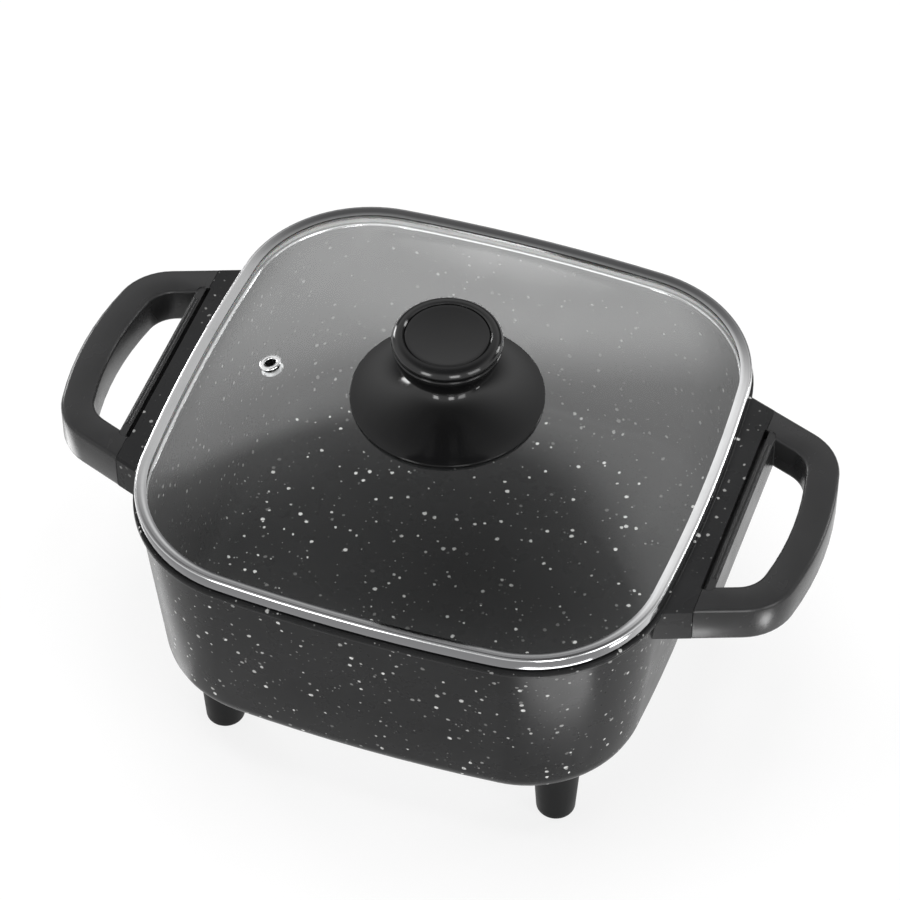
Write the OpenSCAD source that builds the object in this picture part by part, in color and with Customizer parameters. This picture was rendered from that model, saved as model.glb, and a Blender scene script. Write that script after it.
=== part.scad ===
// Square electric skillet: cast pan on four feet, two loop handles and a domed glass lid.
// Millimetres. The table is z = 0, the handles lie along X and the inlet faces +Y.

/* [Rim outline] */
// Side of the lid band, across the middle of two opposite sides
band_side = 256; // [240:1:280]
// Radius of the bowed sides less the radius of the corners
bow_reach = 800; // [740:10:900]

/* [Pan] */
// Height of the pan from its base to its rim
pan_h = 103; // [80:1:130]
// Thickness of the wall, measured level
wall_t = 3.2; // [2.6:0.1:5]
// Thickness of the floor
floor_t = 4; // [3.5:0.1:7]
// Outward lean of the wall, in degrees
wall_lean = 5.5; // [3:0.5:8]
// Outside radius between the base and the wall
base_round = 14; // [9:1:18]
// Inside radius between the floor and the wall
floor_round = 12; // [7:1:16]
// How far the rim lip stands out past the lid band
lip_over = 1; // [0.5:0.5:4]
// How far the rim lip stands out past the wall
lip_out = 2.3; // [1.5:0.1:5]
// Height of the rim lip
lip_h = 5; // [4.5:0.5:8]
// Radius on the edges of the rim
rim_round = 1.2; // [0.8:0.1:1.5]

/* [Feet] */
// Height of a foot
foot_h = 35; // [28:1:60]
// Radius of a foot at its seat
foot_top_r = 11.3; // [10:0.1:14]
// Radius of a foot at the table
foot_tip_r = 9.3; // [8:0.1:12]
// Radius on the bottom edge of a foot
foot_round = 2; // [1:0.1:3]
// Distance of a foot's centre line from the side of the lid band
foot_in = 44.7; // [40:0.1:52]
// Length of the foot that its screw clamps
foot_web = 14; // [8:1:18]
// Radius of the recess for the screw's head
foot_sink_r = 5; // [4.5:0.1:6]
// Drop of the bosses that carry the feet below the base
boss_h = 5; // [3:0.5:8]
// Width of the shoulder of a boss round its foot
boss_rim = 0.6; // [0.4:0.1:1]

/* [Heater and inlet] */
// Distance of the heating ring from the side of the lid band
heater_in = 29.5; // [29:0.5:36]
// Drop of the heating tube's centre line below the base
heater_drop = 5; // [4.6:0.1:6]
// Radius of the heating tube
tube_r = 3.3; // [2.8:0.1:3.6]
// Wall of the heating tube
tube_t = 0.8; // [0.5:0.1:0.9]
// Width of the heater plate's ring round the tube
rib_w = 14; // [10:0.5:14.5]
// Thickness of the ring under the tube
rib_t = 1.3; // [1:0.1:3]
// Radius on the lower edges of the ring
rib_round = 2.5; // [1:0.1:3]
// Thickness of the heater plate inside the ring
web_t = 3; // [2:0.1:4]
// Radius of the tube's bends at the inlet
bend_r = 14; // [12:1:16]
// Straight length of the tube after each bend
leg_l = 2; // [1:0.5:4]
// Radius of the bore for the heat sensor
sensor_r = 3.3; // [2.5:0.1:4]
// Depth of the bore for the heat sensor
sensor_depth = 30; // [20:1:34]
// Radius of a terminal pin
pin_r = 2; // [1.5:0.1:2.1]
// Length of a terminal pin that stands in the socket
pin_l = 14; // [10:0.5:15]
// Radius of an insulator's flange
flange_r = 4.4; // [4:0.1:4.6]
// Thickness of an insulator's flange
flange_t = 2.5; // [2:0.1:4]
// Length of an insulator's nose
nose_l = 4; // [3.5:0.1:5]
// Height of the guard round the inlet
guard_h = 29; // [26:1:32]
// Wall of the guard round the inlet
guard_t = 2.5; // [2:0.1:3]
// Depth of the guard from its back to its mouth
guard_l = 16; // [15:0.1:17]

/* [Handles] */
// Half length of an ear at the side of the lid band
ear_half = 69; // [62:1:74]
// Distance from the side of the lid band to the seam with the handle
ear_w = 10.5; // [9:0.5:14]
// Drop of the ears' top below the rim
ear_drop = 0.4; // [0.3:0.1:4]
// Thickness of the ears and the handles
grip_h = 20; // [17:0.5:23]
// Thickness of an ear's top plate
ear_t = 6.5; // [6:0.1:8]
// Width of an ear's end walls beside the pocket
ear_end = 5; // [4:0.5:7]
// Reach of a handle past the side of the lid band
grip_reach = 53.8; // [48:0.1:60]
// Radius of the bowed outer side of a handle
grip_bow = 165; // [150:1:240]
// Radius of the outer corners of a handle
grip_corner = 28; // [20:1:30]
// Width of the handle's outer grip
grip_w = 15.6; // [13:0.1:17]
// Width of the handle's arms
arm_w = 14.9; // [13:0.1:17]
// Radius of the corners of the finger opening
hole_corner = 15; // [10:1:18]
// Radius on the edges of a handle
grip_round = 2; // [1:0.1:3]
// Half length of the inner bar
bar_half = 51; // [49:0.5:54]
// Width of the inner bar
bar_w = 3.7; // [3:0.1:5]
// Width of the groove between the ear and the bar
groove_w = 2.2; // [1.5:0.1:3]
// Step from the top of the handle down to the bar
bar_step = 0.6; // [0.4:0.1:2]
// Height of the fine ribs on the bar
ridge_h = 0.4; // [0.2:0.1:0.6]
// Width of the fine ribs on the bar
ridge_w = 0.7; // [0.4:0.1:1]
// Width of the tongues under an ear
tongue_w = 20; // [16:0.5:22]
// Height of the tongues above the underside of the ear
tongue_lift = 4; // [3:0.5:5]
// Thickness of the shelf between the tongues
shelf_t = 3; // [2:0.5:5]
// Bevel on the edges of the ears
ear_bevel = 1.2; // [0.5:0.1:2]

/* [Lid] */
// Thickness of the steel band
band_t = 0.8; // [0.5:0.1:1]
// Width of the band's flange on the glass
flange_w = 5.5; // [5:0.5:11]
// Rise of the band's crest above the glass
crest_rise = 2; // [1.2:0.1:2.5]
// Radius of the band's outer edges
crest_round = 1.5; // [1:0.1:1.6]
// Depth of the band's guide inside the pan
guide_h = 3; // [2:0.5:5]
// Play between the guide and the pan
guide_play = 1.3; // [0.8:0.1:2]
// Thickness of the seal under the glass
seal_t = 1.2; // [1:0.1:2.5]
// Thickness of the glass
glass_t = 3.2; // [3:0.1:5]
// Rise of the glass above its flat edge
dome_rise = 22; // [14:0.1:28]
// Distance of the vent from the centre of the lid
vent_x = 87; // [70:1:92]
// Radius of the steam hole
vent_r = 2.75; // [1.5:0.05:3]

/* [Knob] */
// Height of the knob above the glass
knob_h = 38.1; // [34:0.1:44]
// Radius of the mushroom grip
knob_r = 25.5; // [22:0.5:28]
// Radius of the inset top plate
disc_r = 19.6; // [16:0.1:20]
// Radius of the knob's neck
neck_r = 13; // [11:0.5:15]
// Height of the joint between skirt and grip above the glass
neck_h = 17.3; // [15:0.1:19]
// Radius of the skirt
skirt_r = 44.8; // [36:0.1:50]
// Thickness of the skirt
skirt_t = 1.4; // [1.2:0.1:2]
// Gap between the skirt's edge and the glass
skirt_gap = 0.4; // [0.3:0.1:1.4]
// Thickness of the gasket under the skirt
gasket_t = 1; // [0.6:0.1:1.6]
// Radius of the knob screw
stud_r = 2.45; // [2:0.05:3]

/* [Fasteners and fits] */
// Radius of the handle and foot screws
screw_r = 2; // [1.5:0.1:2.2]
// Radius of the guard screws
guard_screw_r = 1.5; // [1.2:0.1:1.6]
// Depth of the screws in the metal
bite = 5; // [4:0.1:5.2]
// Gap between the lid and the rim
lid_gap = 0.3; // [0.2:0.05:0.5]
// Gap at the seam between ear and handle
seam_gap = 0.2; // [0.1:0.05:0.4]
// Gap round pieces that are held tight
snug = 0.1; // [0.05:0.01:0.15]
// Gap round screws in plain holes
loose = 0.3; // [0.2:0.05:0.5]

/* [Hidden] */
$fn = 96;
side_fn = 720;
far = 400;
over = 1;
coating = "#2c2d2f";
moulding = "#191a1b";
steel = "silver";
silicone = "gainsboro";

// Levels of the pan
base_z = foot_h + boss_h;
floor_z = base_z + floor_t;
rim_z = base_z + pan_h;
lip_z = rim_z - lip_h;

// Outline of the lid band: four bowed sides and four corner arcs that meet tangent
half = band_side / 2;
bow_sin = 237 / 3125;
bow_cos = 3116 / 3125;
bow = asin(bow_sin);
corner_r = half - bow_reach * (bow_sin + 1 - bow_cos);
corner_c = bow_reach * bow_sin;
side_r = bow_reach + corner_r;
side_c = half - side_r;

// Level offsets of the pan's wall from that outline
wall_slope = tan(wall_lean);
function wall_d(z) = lip_over - lip_out - (lip_z - z) * wall_slope;
function inner_d(z) = wall_d(z) - wall_t;
base_c = wall_d(base_z + base_round * (1 - sin(wall_lean))) - base_round * cos(wall_lean);
floor_c = inner_d(floor_z + floor_round * (1 - sin(wall_lean))) - floor_round * cos(wall_lean);
plate_lap = 2;
corner_core = 3;
plate_d = corner_core - corner_r;
plate_r = corner_c * sqrt(2) + corner_core + plate_lap;

// Feet
foot_x = half - foot_in;
boss_r = foot_top_r + boss_rim;
foot_screw_z = foot_h - foot_web;
pan_bite = boss_h + floor_t - 2;

// Heater, in a frame with the inlet along +X and the tube's centre line at z = 0
heater_z = base_z - heater_drop;
heater_r = half - heater_in;
bend_sin = 7 / 25;
bend_cos = 24 / 25;
bend_turn = asin(bend_sin);
leg_x = (heater_r + bend_r) * bend_cos;
leg_y = (heater_r + bend_r) * bend_sin - bend_r;
tube_end = leg_x + leg_l;
core_l = leg_l / 4;
socket_x = tube_end + snug + flange_t;
nose_r = flange_r - 1;
root_r = pin_r + 0.2;
block_w = leg_y + flange_r + 2.5;
block_drop = flange_r + 2.5;
block_back = socket_x - sensor_depth - 5;
pin_end = socket_x + pin_l;
pin_start = leg_x + core_l + snug;
nose_x = socket_x + nose_l;
guard_x = socket_x + seam_gap;
guard_screw_y = (sensor_r + leg_y - flange_r) / 2 + 0.2;

// Ears and handles; an arm's side is the line arm_sin * x + arm_cos * y = arm_line
ear_z = rim_z - ear_drop;
grip_z = ear_z - grip_h;
plate_z = ear_z - ear_t;
seam_x = half + ear_w;
arm_sin = 44 / 125;
arm_cos = 117 / 125;
arm_turn = acos(arm_sin);
arm_line = arm_sin * half + arm_cos * ear_half;
ear_d = (wall_d(grip_z) + inner_d(ear_z)) / 2;
grip_x = half + grip_reach;
bow_x = grip_x - grip_bow;
grip_start = seam_x + seam_gap;
ear_edge = 0.7;
bar_x = seam_x - ear_edge + groove_w;
hole_x = bar_x + bar_w;
bar_top = ear_z - bar_step;
bar_low = grip_z + bar_step;
tongue_low = grip_z + tongue_lift;
pocket_x = half + 1;
pocket_half = (arm_line - arm_sin * seam_x) / arm_cos - ear_end;
tongue_x = pocket_x + loose;
tongue_y = pocket_half - loose - tongue_w / 2;
tongue_top = plate_z - snug;
handle_screw_x = (tongue_x + seam_x) / 2;
ridges = 2;

// Lid, from the rim upwards
band_z = rim_z + lid_gap;
seal_z = band_z + band_t + snug / 2;
glass_z = seal_z + seal_t + snug / 2;
flange_z = glass_z + glass_t;
crest_z = flange_z + crest_rise;
top_z = flange_z + dome_rise;
guide_d = inner_d(rim_z - guide_h) - guide_play;
glass_d = -band_t - snug;
dome_d = -flange_w - 1;
dome_r = half + dome_d;
hub_r = 14;
dome_power = 1.05;
dome_steps = 8;
hub_share = hub_r / dome_r;
hole_r = 5.2;
eyelet_r = vent_r + 1.45;

// Knob, from the glass upwards
hub_z = top_z + gasket_t;
hub_wall_r = neck_r - 1;
joint_z = top_z + neck_h;
knob_z = top_z + knob_h;
skirt_z = dome_z(skirt_r / dome_r) + skirt_gap + skirt_t;
collar_h = 6;
skirt_web = 3;
flare_z = joint_z - collar_h;
flare_power = 1.55;
spigot_r = 9;
spigot_h = 1.5;
insert_r = 4.6;
insert_l = 12;
washer_r = 9;
under_z = top_z - glass_t;
pad_t = 1.2;
pad_z = under_z - snug / 2 - pad_t;
washer_t = 1;
washer_z = pad_z - snug / 2 - washer_t;
head_z = washer_z - snug / 2;

// Points of an arc about c, from angle a to angle b
function arc(c, r, a, b, n) = [for (i = [0:n]) let (t = a + (b - a) * i / n) c + r * [cos(t), sin(t)]];

// A point turned by k quarter turns about the origin
function turned(p, k) = [[p.x, p.y], [-p.y, p.x], [-p.x, -p.y], [p.y, -p.x]][k];

// Closed outline at distance d outside the lid band
function quarter(d, ns, nc) = concat(
  [for (p = arc([side_c, 0], side_r + d, -bow, bow, ns)) p],
  [for (i = [1:nc - 1]) arc([corner_c, corner_c], corner_r + d, bow, 90 - bow, nc)[i]]
);
function outline(d, ns, nc) = [for (k = [0:3]) each [for (p = quarter(d, ns, nc)) turned(p, k)]];

// Handle outline: straight arms, corner arcs and a bowed outer side, drawn in by e
function corner_at(line, rc, ro) =
  let (u = line - rc - arm_sin * bow_x, v = sqrt(pow(ro - rc, 2) - u * u))
  [bow_x, 0] + u * [arm_sin, arm_cos] + v * [arm_cos, -arm_sin];
function loop_side(x0, line, rc, ro, e) =
  let (c = corner_at(line, rc, ro), t = atan2(c.y, c.x - bow_x), n = 8)
  concat([[x0, (line - e - arm_sin * x0) / arm_cos]], arc(c, rc - e, arm_turn, t, n),
    [for (i = [1:n / 2 - 1]) arc([bow_x, 0], ro - e, t, 0, n / 2)[i]]);
function loop_outline(x0, line, rc, ro, e) =
  let (side = loop_side(x0, line, rc, ro, e), n = len(side))
  concat([for (p = side) [p.x, -p.y]], [[bow_x + ro - e, 0]], [for (i = [n - 1:-1:0]) side[i]]);

// Steps [inset, z] of a slab with rounded edges
function rounded_steps(lo, hi, r, n) = concat(
  [for (i = [0:n]) [r - r * sin(90 * i / n), lo + r - r * cos(90 * i / n)]],
  [for (i = [n:-1:0]) [r - r * sin(90 * i / n), hi - r + r * cos(90 * i / n)]]
);

function at_height(points, z) = [for (p = points) [p.x, p.y, z]];

// Height of the glass at a share of the way from the centre to the dome's foot, and its slope there
function dome_z(share) =
  flange_z + dome_rise * pow((1 - share * share) / (1 - hub_share * hub_share), dome_power);
function dome_tilt(share) =
  let (k = 1 - hub_share * hub_share, rest = (1 - share * share) / k)
  atan(dome_rise * dome_power * pow(rest, dome_power - 1) * 2 * share / k / dome_r);

// Outline of the dome at that share: square at the foot, round at the hub
function dome_ring(share, drop) =
  [for (p = outline(dome_d, 6, 8))
    let (r = share * (share * share * norm(p) + (1 - share * share) * dome_r))
    [r * p.x / norm(p), r * p.y / norm(p), dome_z(share) - drop]];

// Upper surface of the knob's skirt
function flare(r) = let (rest = (skirt_r - r) / (skirt_r - neck_r))
  flare_z - (flare_z - skirt_z) * pow(1 - pow(rest, flare_power), 1 / flare_power);

// Solid through a list of rings, each with as many points, listed upwards
module loft(rings) {
  n = len(rings[0]);
  m = len(rings);
  sides = [for (k = [0:m - 2], i = [0:n - 1]) let (a = k * n + i, b = k * n + (i + 1) % n)
    each [[a, a + n, b + n], [a, b + n, b]]];
  caps = [[for (i = [0:n - 1]) i], [for (i = [n - 1:-1:0]) (m - 1) * n + i]];
  polyhedron(points = [for (ring = rings) each ring], faces = concat(sides, caps));
}

// One eighth of a sweep round the outline: half a side and half a corner
module octant() {
  intersection() {
    linear_extrude(height = far) polygon([[0, 0], [far, far], [0, far]]);
    translate([0, side_c, 0]) rotate([0, 0, 90 - bow]) {
      rotate_extrude(angle = bow + over, $fn = side_fn) translate([side_r, 0]) children();
      translate([bow_reach, 0, 0]) mirror([0, 1, 0]) rotate_extrude(angle = 45 - bow + over)
        translate([corner_r, 0]) children();
    }
  }
}

// Sweep of a profile [distance outside the lid band, z] round the whole outline
module ring() {
  for (k = [0:3]) rotate([0, 0, 90 * k]) for (f = [0, 1]) mirror([f, 0, 0]) octant() children();
}

module both_sides() {
  children();
  mirror([1, 0, 0]) children();
}

module both_ends() {
  children();
  mirror([0, 1, 0]) children();
}

module at_foot(x, y) {
  translate([x * foot_x, y * foot_x, 0]) children();
}

module corners() {
  for (x = [-1, 1], y = [-1, 1]) at_foot(x, y) children();
}

// Frame of the inlet: +X outwards, origin on the heating tube's level
module at_inlet() {
  translate([0, 0, heater_z]) rotate([0, 0, 90]) children();
}

module along_x() {
  rotate([0, 90, 0]) children();
}

// Sweep of a profile along the heating tube: an open ring, two bends and two legs
module heater_half(leg) {
  intersection() {
    translate([-far, 0, -far / 2]) cube([2 * far, far, far]);
    rotate([0, 0, bend_turn]) rotate_extrude(angle = 180 - bend_turn + over)
      translate([heater_r, 0]) children();
  }
  rotate([0, 0, bend_turn]) translate([heater_r + bend_r, 0, 0]) rotate([0, 0, -bend_turn]) {
    intersection() {
      translate([-far, -far, -far / 2]) cube([far, 2 * far, far]);
      rotate([0, 0, 180 + bend_turn]) rotate_extrude(angle = 90 - bend_turn + over)
        translate([bend_r, 0]) children();
    }
    translate([0, -bend_r, 0]) rotate([90, 0, 90]) linear_extrude(height = leg) children();
  }
}

module heater_path(leg) {
  both_ends() heater_half(leg) children();
}

// Machine screw with a domed head, pointing up, its head under z = 0
module screw(r, length) {
  head_r = 1.9 * r;
  head_h = 1.3 * r;
  dome = head_h / 2;
  rotate_extrude() polygon(concat(
    [[0, -head_h]], arc([head_r - dome, -dome], dome, -90, 0, 4),
    [[head_r, 0], [r, 0], [r, length - r / 2], [r / 2, length], [0, length]]
  ));
}

module washer(r_out, r_in, thick) {
  rotate_extrude() translate([r_in, 0]) square([r_out - r_in, thick]);
}

// Pan
module pan_shell() {
  n = 8;
  m = 3;
  lip_d = lip_over - rim_round;
  lip_low = lip_z + rim_round + 1;
  inner_top = inner_d(rim_z - rim_round) + rim_round;
  ring() polygon(concat(
    [[plate_d, base_z]],
    arc([base_c, base_z + base_round], base_round, -90, -wall_lean, n),
    [[wall_d(lip_z), lip_z]],
    arc([lip_d, lip_low], rim_round, -90, 0, m),
    arc([lip_d, rim_z - rim_round], rim_round, 0, 90, m),
    arc([inner_top, rim_z - rim_round], rim_round, 90, 180, m),
    arc([floor_c, floor_z + floor_round], floor_round, -wall_lean, -90, n),
    [[plate_d, floor_z]]
  ));
  translate([0, 0, base_z]) cylinder(r = plate_r, h = floor_t);
}

// Ear: a plate with end walls, rooted in the pan's wall, with a pocket for the handle's tongues
module ear() {
  rr = corner_r + ear_d;
  h = arm_line - (arm_sin + arm_cos) * corner_c;
  root = h * [arm_sin, arm_cos] + sqrt(rr * rr - h * h) * [arm_cos, -arm_sin];
  side = concat(
    [[seam_x - ear_edge, bar_half], [seam_x, bar_half]],
    [[seam_x, (arm_line - arm_sin * seam_x) / arm_cos]],
    arc([corner_c, corner_c], rr, atan2(root.y, root.x), bow, 3),
    [for (i = [1:3]) arc([side_c, 0], side_r + ear_d, bow, 0, 4)[i]]
  );
  n = len(side);
  w = ear_bevel * sqrt(2);
  difference() {
    translate([0, 0, grip_z]) linear_extrude(height = grip_h)
      polygon(concat(side, [[half + ear_d, 0]], [for (i = [n - 1:-1:0]) [side[i].x, -side[i].y]]));
    translate([pocket_x, -pocket_half, grip_z - over])
      cube([ear_w + over, 2 * pocket_half, plate_z - grip_z + over]);
    both_ends() for (z = [grip_z, ear_z]) translate([arm_sin * arm_line, arm_cos * arm_line, z])
      rotate([0, 0, arm_turn - 90]) rotate([45, 0, 0]) cube([far, w, w], center = true);
  }
}

module pan_casting() {
  color(coating) difference() {
    union() {
      pan_shell();
      corners() translate([0, 0, foot_h]) cylinder(r = boss_r, h = boss_h + floor_t / 2);
      both_sides() ear();
    }
    corners() translate([0, 0, foot_h - over]) cylinder(r = screw_r + snug / 2, h = pan_bite + over);
    both_sides() both_ends() translate([handle_screw_x, tongue_y, plate_z - over])
      cylinder(r = screw_r + snug / 2, h = bite + over);
  }
}

// Handle: a rounded loop with a low ribbed bar, and two tongues with a shelf between them under the ear
module grip_loop() {
  line = arm_line - arm_w;
  ro = grip_bow - grip_w;
  hole_steps = rounded_steps(grip_z, ear_z, grip_round, 3);
  steps = concat([[grip_round, grip_z - over]], hole_steps, [[grip_round, ear_z + over]]);
  difference() {
    loft([for (s = rounded_steps(grip_z, ear_z, grip_round, 3))
      at_height(loop_outline(grip_start, arm_line, grip_corner, grip_bow, s[0]), s[1])]);
    loft([for (s = steps) at_height(loop_outline(hole_x, line, hole_corner, ro, -s[0]), s[1])]);
  }
}

// Plan of the step down to the bar
module bar_recess() {
  r = bar_w - 1;
  linear_extrude(height = far) polygon(concat(
    [[seam_x, -bar_half]], arc([hole_x - r, r - bar_half], r, -90, 0, 4),
    arc([hole_x - r, bar_half - r], r, 0, 90, 4), [[seam_x, bar_half]]
  ));
}

module right_grip() {
  pitch = bar_w / (ridges + 0.5);
  tongue_end = bar_x + bar_w / 2;
  ridge_in = 8;
  difference() {
    union() {
      difference() {
        grip_loop();
        translate([0, 0, bar_top]) bar_recess();
        translate([0, 0, bar_low - far]) bar_recess();
        translate([seam_x, -bar_half, grip_z - over])
          cube([bar_x - seam_x, 2 * bar_half, grip_h + 2 * over]);
      }
      for (i = [1:ridges]) translate([bar_x + (i - 0.5) * pitch, ridge_in - bar_half, bar_top - ridge_h])
        cube([ridge_w, 2 * (bar_half - ridge_in), 2 * ridge_h]);
      both_ends() translate([tongue_x, tongue_y - tongue_w / 2, tongue_low])
        cube([tongue_end - tongue_x, tongue_w, tongue_top - tongue_low]);
      translate([tongue_x, -tongue_y, tongue_top - shelf_t])
        cube([tongue_end - tongue_x, 2 * tongue_y, shelf_t]);
    }
    both_ends() translate([handle_screw_x, tongue_y, grip_z]) cylinder(r = screw_r + loose, h = grip_h);
  }
}

module right_handle() {
  color(moulding) right_grip();
}

module left_handle() {
  color(moulding) mirror([1, 0, 0]) right_grip();
}

module handle_screws() {
  color(steel) both_sides() both_ends() translate([handle_screw_x, tongue_y, tongue_low])
    screw(screw_r, plate_z - tongue_low + bite - loose);
}

// Feet
module foot() {
  color(moulding) rotate_extrude() polygon(concat(
    [[foot_sink_r, 0]],
    arc([foot_tip_r - foot_round, foot_round], foot_round, -90, 0, 5),
    [[foot_top_r, foot_h], [screw_r + loose, foot_h]],
    [[screw_r + loose, foot_screw_z], [foot_sink_r, foot_screw_z]]
  ));
}

module front_left_foot() {
  at_foot(-1, -1) foot();
}

module front_right_foot() {
  at_foot(1, -1) foot();
}

module rear_left_foot() {
  at_foot(-1, 1) foot();
}

module rear_right_foot() {
  at_foot(1, 1) foot();
}

module foot_screws() {
  color(steel) corners() translate([0, 0, foot_screw_z]) screw(screw_r, foot_web + pan_bite - loose);
}

// Heater plate under the base: a ring over the tube, a web inside it and a block for the inlet
module plate_disc() {
  low = -tube_r - rib_t;
  inner = heater_r - rib_w / 2;
  outer = heater_r + rib_w / 2;
  web_z = heater_drop - web_t;
  rotate_extrude() polygon(concat(
    [[0, web_z]], arc([inner - rib_round, web_z - rib_round], rib_round, 90, 0, 4),
    arc([inner + rib_round, low + rib_round], rib_round, 180, 270, 4),
    arc([outer - rib_round, low + rib_round], rib_round, 270, 360, 4),
    [[outer, heater_drop], [0, heater_drop]]
  ));
}

// Block that carries the tube's ends and the sensor bore
module inlet_block() {
  taper = 10;
  translate([0, 0, -block_drop]) linear_extrude(height = block_drop + heater_drop)
    polygon([[socket_x, block_w], [block_back + taper, block_w], [block_back, block_w - taper],
      [block_back, taper - block_w], [block_back + taper, -block_w], [socket_x, -block_w]]);
}

module inlet_cuts() {
  heater_path(leg_l + over) circle(tube_r + snug / 2);
  translate([socket_x - sensor_depth, 0, 0]) along_x() cylinder(r = sensor_r, h = sensor_depth + over);
  both_ends() {
    translate([tube_end, leg_y, 0]) along_x() cylinder(r = flange_r + snug, h = flange_t + over);
    translate([socket_x - 2 * bite, guard_screw_y, 0]) along_x()
      cylinder(r = guard_screw_r + snug / 2, h = 2 * bite + over);
  }
}

module heater_plate() {
  color("lightgray") at_inlet() difference() {
    union() {
      plate_disc();
      inlet_block();
    }
    inlet_cuts();
  }
}

module heater_sheath() {
  color("slategray") at_inlet() heater_path(leg_l) difference() {
    circle(tube_r);
    circle(tube_r - tube_t);
  }
}

module heater_core() {
  color("whitesmoke") at_inlet() heater_path(core_l) circle(tube_r - tube_t - snug / 2);
}

module terminal_pins() {
  tip = pin_r / 2;
  color(steel) at_inlet() both_ends() translate([0, leg_y, 0]) along_x() rotate_extrude() polygon(concat(
    [[0, pin_start], [root_r, pin_start], [root_r, nose_x], [pin_r, nose_x]],
    arc([pin_r - tip, pin_end - tip], tip, 0, 90, 4),
    [[0, pin_end]]
  ));
}

module terminal_insulators() {
  bore = root_r + snug / 2;
  flange_x = tube_end + snug;
  bevel = 0.6;
  color("ivory") at_inlet() both_ends() translate([0, leg_y, 0]) along_x() rotate_extrude()
    polygon([[bore, flange_x], [flange_r, flange_x], [flange_r, socket_x], [nose_r, socket_x],
      [nose_r, nose_x - bevel], [nose_r - bevel, nose_x], [bore, nose_x]]);
}

// Rounded rectangle across the inlet's axis
module guard_section(grow) {
  r = 5 + grow;
  w = block_w + grow - r;
  h = guard_h / 2 - guard_t + grow - r;
  square([2 * w, 2 * (h + r)], center = true);
  square([2 * (w + r), 2 * h], center = true);
  for (x = [-w, w], y = [-h, h]) translate([x, y]) circle(r);
}

module guard_prism(x, grow) {
  translate([x, 0, 0]) rotate([90, 0, 90]) linear_extrude(height = guard_l) guard_section(grow);
}

// Space that the pan's wall takes up, with room round it, in the inlet's frame
module wall_space(room) {
  translate([side_c, 0, -heater_z]) rotate([0, 0, -bow]) rotate_extrude(angle = 2 * bow, $fn = side_fn)
    translate([side_r + room, 0]) polygon(concat(
      [[plate_d, base_z]], arc([base_c, base_z + base_round], base_round, -90, -wall_lean, 8),
      [[wall_d(lip_z), lip_z], [plate_d, lip_z]]
    ));
}

module inlet_guard() {
  color(moulding) at_inlet() difference() {
    guard_prism(guard_x, guard_t);
    guard_prism(guard_x + guard_t, 0);
    wall_space(2 * loose);
    translate([guard_x - over, 0, 0]) along_x() cylinder(r = sensor_r + 1, h = guard_t + 2 * over);
    both_ends() {
      translate([guard_x - over, leg_y, 0]) along_x() cylinder(r = nose_r + snug, h = guard_t + 2 * over);
      translate([guard_x - over, guard_screw_y, 0]) along_x()
        cylinder(r = guard_screw_r + loose, h = guard_t + 2 * over);
    }
  }
}

module guard_screws() {
  color(steel) at_inlet() both_ends() translate([guard_x + guard_t, guard_screw_y, 0]) rotate([0, -90, 0])
    screw(guard_screw_r, guard_t + 2 * bite - loose);
}

// Lid
module glass_panel() {
  edge = rounded_steps(glass_z, flange_z, 1, 2);
  shares = [for (i = [0:dome_steps]) hub_share + (1 - hub_share) * i / dome_steps];
  color("lightblue", 0.4) difference() {
    loft(concat(
      [for (share = shares) dome_ring(share, glass_t)],
      [for (s = edge) at_height(outline(glass_d - s[0], 6, 8), s[1])],
      [for (i = [dome_steps:-1:0]) dome_ring(shares[i], 0)]
    ));
    translate([0, 0, under_z - over]) cylinder(r = hole_r, h = glass_t + 2 * over);
    at_vent() translate([0, 0, -2 * glass_t]) cylinder(r = eyelet_r, h = 3 * glass_t);
  }
}

// Frame of the vent, square to the glass
module at_vent() {
  share = vent_x / dome_r;
  translate([-vent_x, 0, dome_z(share)]) rotate([0, -dome_tilt(share), 0]) children();
}

module vent_grommet() {
  r = eyelet_r - snug;
  flange = r + 1.2;
  low = -glass_t - 0.3;
  lift = 0.25;
  thick = 0.7;
  color(steel) at_vent() rotate_extrude() polygon(concat(
    [[vent_r, low - thick], [flange, low - thick], [flange, low], [r, low], [r, lift], [flange, lift]],
    arc([flange - thick, lift], thick, 0, 90, 4),
    arc([vent_r + thick, lift], thick, 90, 180, 4)
  ));
}

// Band: rolled over the edge of the glass, flat on the rim, with a guide inside the pan
module steel_band() {
  fold = crest_round;
  inner = fold - band_t;
  top = crest_z - fold;
  low = band_z + fold;
  flange_low = flange_z + snug / 2;
  lap = guide_d - band_t;
  roll = 90 + atan((crest_rise - band_t - snug / 2) / (flange_w - crest_round));
  color(steel) ring() polygon(concat(
    [[-flange_w, flange_low + band_t]],
    arc([-fold, top], fold, roll, 0, 4), arc([-fold, low], fold, 0, -90, 3),
    arc([guide_d + inner, band_z - inner], inner, 90, 180, 2),
    [[guide_d, band_z - guide_h], [lap, band_z - guide_h]],
    arc([guide_d + inner, band_z - inner], fold, 180, 90, 3),
    arc([-fold, low], inner, -90, 0, 3), arc([-fold, top], inner, 0, roll, 4),
    [[-flange_w, flange_low]]
  ));
}

module rim_seal() {
  inner = guide_d + crest_round;
  outer = -crest_round;
  color(silicone) ring() polygon(concat(
    [[inner, seal_z], [outer, seal_z]],
    arc([outer, seal_z + seal_t / 2], seal_t / 4, -60, 60, 3),
    [[outer, seal_z + seal_t], [inner, seal_z + seal_t]]
  ));
}

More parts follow.
